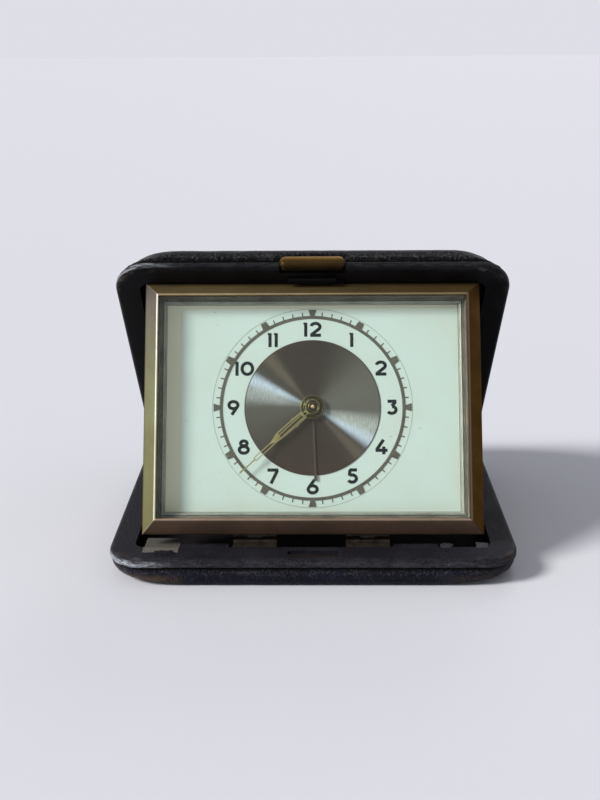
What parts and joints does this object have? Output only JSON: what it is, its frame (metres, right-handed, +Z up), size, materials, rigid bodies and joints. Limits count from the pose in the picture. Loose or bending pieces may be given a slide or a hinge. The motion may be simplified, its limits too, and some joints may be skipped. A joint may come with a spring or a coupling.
{
  "type": "folding travel alarm clock",
  "caption": "Mechanical alarm clock that folds flat into a padded leather clamshell case, standing open with the lid propped on its frame.",
  "frame": {"origin": "centre of the flat underside of the case, on the surface that it stands on", "axes": "+X runs to the right along the hinges, -Y faces the reader of the dial, +Z is up"},
  "size_m": [0.113, 0.0957, 0.0842],
  "materials": {
    "padded_leather": "semi-gloss grained black leather, worn brown at the corners",
    "rim_leather": "smooth black leather wrapped over the rim, worn at its edges",
    "lining": "dull dark lining",
    "pan_steel": "plain sheet steel",
    "dark_steel": "darkened steel",
    "hinge_brass": "tarnished brass",
    "button_brass": "worn gilt brass",
    "gilt_frame": "polished gilt brass, tarnished at the mitres",
    "inner_gilt": "brushed gilt brass",
    "glass": "clear flat glass",
    "dial_paint": "pale green enamel paint, satin",
    "spun_disc": "circularly spun metal",
    "track_bronze": "olive bronze",
    "hand_gilt": "polished gilt",
    "hand_dark": "dark bronze",
    "movement_brass": "satin brass",
    "arbor_steel": "polished steel",
    "blued_steel": "blued steel"
  },
  "bodies": {
    "base": {"base_cover": "padded_leather", "base_rim": "rim_leather", "base_pan": "pan_steel", "base_lining": "lining", "hinge_rail": "dark_steel", "catch_plate": "dark_steel", "case_hinge_base_leaf": "dark_steel", "case_hinge_pin": "dark_steel", "clock_hinge_fixed_leaves": "hinge_brass", "clock_hinge_pins": "hinge_brass"},
    "lid": {"lid_cover": "padded_leather", "lid_rim": "rim_leather", "lid_pan": "pan_steel", "lid_lining": "lining", "case_hinge_lid_leaf": "dark_steel", "clasp_bracket": "dark_steel", "clasp_spring": "dark_steel"},
    "clasp": {"clasp_button": "button_brass", "clasp_hook": "dark_steel"},
    "clock": {"bezel_frame": "gilt_frame", "inner_bezel": "inner_gilt", "front_glass": "glass", "dial": "dial_paint", "dial_disc": "spun_disc", "hour_track": "track_bronze", "movement_housing": "movement_brass", "front_plate": "movement_brass", "back_plate": "movement_brass", "plate_pillars": "movement_brass", "plate_screws": "blued_steel", "clock_hinge_moving_leaves": "hinge_brass", "hairspring": "blued_steel"},
    "minute_hand": {"minute_hand": "hand_gilt", "cannon_pinion": "arbor_steel"},
    "minute_wheel": {"minute_wheel": "movement_brass", "time_set_knob": "movement_brass"},
    "hour_hand": {"hour_wheel": "movement_brass", "hour_hand": "hand_gilt"},
    "alarm_hand": {"alarm_wheel": "movement_brass", "alarm_hand": "hand_dark"},
    "alarm_set": {"alarm_set_arbor": "arbor_steel", "alarm_set_knob": "movement_brass"},
    "going_barrel": {"going_barrel": "movement_brass"},
    "time_key": {"going_barrel_arbor": "arbor_steel", "time_winding_key": "movement_brass"},
    "alarm_barrel": {"alarm_barrel": "movement_brass"},
    "alarm_key": {"alarm_barrel_arbor": "arbor_steel", "alarm_winding_key": "movement_brass"},
    "centre_wheel": {"centre_wheel": "movement_brass"},
    "third_wheel": {"third_wheel": "movement_brass"},
    "fourth_wheel": {"fourth_wheel": "movement_brass"},
    "escape_wheel": {"escape_wheel": "movement_brass"},
    "pallet_fork": {"pallet_fork": "arbor_steel"},
    "balance": {"balance_wheel": "movement_brass"},
    "regulator": {"regulator": "movement_brass"},
    "strike_wheel": {"strike_wheel": "movement_brass"},
    "alarm_hammer": {"alarm_hammer": "arbor_steel"},
    "alarm_stop": {"alarm_stop_button": "movement_brass"}
  },
  "joints": [
    {"name": "lid_hinge", "type": "hinge", "parent": "base", "child": "lid", "pos_m": [0, 0.04615, 0.0083], "axis": [-1, 0, 0], "range_deg": [0, 45]},
    {"name": "clasp_press", "type": "slide", "parent": "lid", "child": "clasp", "axis": [0, 0.6048, -0.7964], "range_m": [0, 0.001], "stiffness_N_per_m": 400, "deforming": ["clasp_spring"]},
    {"name": "clock_fold", "type": "hinge", "parent": "base", "child": "clock", "pos_m": [0, -0.03185, 0.0078], "axis": [1, 0, 0], "range_deg": [-64.8, 0]},
    {"name": "minute_hand_spin", "type": "hinge", "parent": "clock", "child": "minute_hand", "pos_m": [0, -0.01595, 0.0416], "axis": [0, -0.9048, 0.4258], "continuous": true},
    {"name": "minute_wheel_spin", "type": "hinge", "parent": "clock", "child": "minute_wheel", "pos_m": [0.00146, -0.01947, 0.03411], "axis": [0, -0.9048, 0.4258], "continuous": true},
    {"name": "hour_hand_spin", "type": "hinge", "parent": "clock", "child": "hour_hand", "pos_m": [0, -0.01595, 0.0416], "axis": [0, -0.9048, 0.4258], "continuous": true},
    {"name": "alarm_set_spin", "type": "hinge", "parent": "clock", "child": "alarm_set", "pos_m": [0.00739, -0.01539, 0.04277], "axis": [0, -0.9048, 0.4258], "continuous": true},
    {"name": "alarm_hand_spin", "type": "hinge", "parent": "clock", "child": "alarm_hand", "pos_m": [0, -0.01595, 0.0416], "axis": [0, -0.9048, 0.4258], "continuous": true},
    {"name": "fourth_wheel_spin", "type": "hinge", "parent": "clock", "child": "fourth_wheel", "pos_m": [0.00468, -0.01185, 0.05031], "axis": [0, -0.9048, 0.4258], "continuous": true},
    {"name": "third_wheel_spin", "type": "hinge", "parent": "clock", "child": "third_wheel", "pos_m": [-0.00131, -0.01278, 0.04833], "axis": [0, -0.9048, 0.4258], "continuous": true},
    {"name": "centre_wheel_spin", "type": "hinge", "parent": "clock", "child": "centre_wheel", "pos_m": [0, -0.01595, 0.0416], "axis": [0, -0.9048, 0.4258], "continuous": true},
    {"name": "going_barrel_spin", "type": "hinge", "parent": "clock", "child": "going_barrel", "pos_m": [-0.0097, -0.01833, 0.03653], "axis": [0, -0.9048, 0.4258], "continuous": true},
    {"name": "escape_wheel_spin", "type": "hinge", "parent": "clock", "child": "escape_wheel", "pos_m": [0.00765, -0.00966, 0.05496], "axis": [0, -0.9048, 0.4258], "continuous": true},
    {"name": "time_winding", "type": "hinge", "parent": "clock", "child": "time_key", "pos_m": [-0.0097, -0.01833, 0.03653], "axis": [0, -0.9048, 0.4258], "continuous": true},
    {"name": "alarm_winding", "type": "hinge", "parent": "clock", "child": "alarm_key", "pos_m": [0.0135, -0.01978, 0.03345], "axis": [0, -0.9048, 0.4258], "continuous": true},
    {"name": "alarm_barrel_spin", "type": "hinge", "parent": "clock", "child": "alarm_barrel", "pos_m": [0.0135, -0.01978, 0.03345], "axis": [0, -0.9048, 0.4258], "continuous": true},
    {"name": "strike_wheel_spin", "type": "hinge", "parent": "clock", "child": "strike_wheel", "pos_m": [0.01578, -0.01615, 0.04116], "axis": [0, -0.9048, 0.4258], "continuous": true},
    {"name": "pallet_rock", "type": "hinge", "parent": "clock", "child": "pallet_fork", "pos_m": [0.0028, -0.00847, 0.05749], "axis": [0, -0.9048, 0.4258], "range_deg": [-5, 5]},
    {"name": "balance_swing", "type": "hinge", "parent": "clock", "child": "balance", "pos_m": [-0.0057, -0.00834, 0.05776], "axis": [0, -0.9048, 0.4258], "range_deg": [-150, 150], "stiffness_Nm_per_rad": 0.00002, "deforming": ["hairspring"]},
    {"name": "hammer_rock", "type": "hinge", "parent": "clock", "child": "alarm_hammer", "pos_m": [0.019, -0.0142, 0.04531], "axis": [0, -0.9048, 0.4258], "range_deg": [-4, 4]},
    {"name": "regulator_turn", "type": "hinge", "parent": "clock", "child": "regulator", "pos_m": [-0.0057, -0.00834, 0.05776], "axis": [0, -0.9048, 0.4258], "range_deg": [-15, 15]},
    {"name": "alarm_stop_press", "type": "slide", "parent": "clock", "child": "alarm_stop", "axis": [0, -0.9048, 0.4258], "range_m": [0, 0.0006], "stiffness_N_per_m": 200}
  ],
  "couplings": [
    {"joint": "hour_hand_spin", "follows": "minute_hand_spin", "ratio": 0.083333},
    {"joint": "minute_wheel_spin", "follows": "minute_hand_spin", "ratio": -0.33333},
    {"joint": "alarm_hand_spin", "follows": "alarm_set_spin", "ratio": -0.25},
    {"joint": "third_wheel_spin", "follows": "fourth_wheel_spin", "ratio": -0.13333},
    {"joint": "centre_wheel_spin", "follows": "fourth_wheel_spin", "ratio": 0.016667},
    {"joint": "going_barrel_spin", "follows": "fourth_wheel_spin", "ratio": -0.0027778},
    {"joint": "escape_wheel_spin", "follows": "fourth_wheel_spin", "ratio": -8},
    {"joint": "strike_wheel_spin", "follows": "alarm_barrel_spin", "ratio": -6}
  ]
}
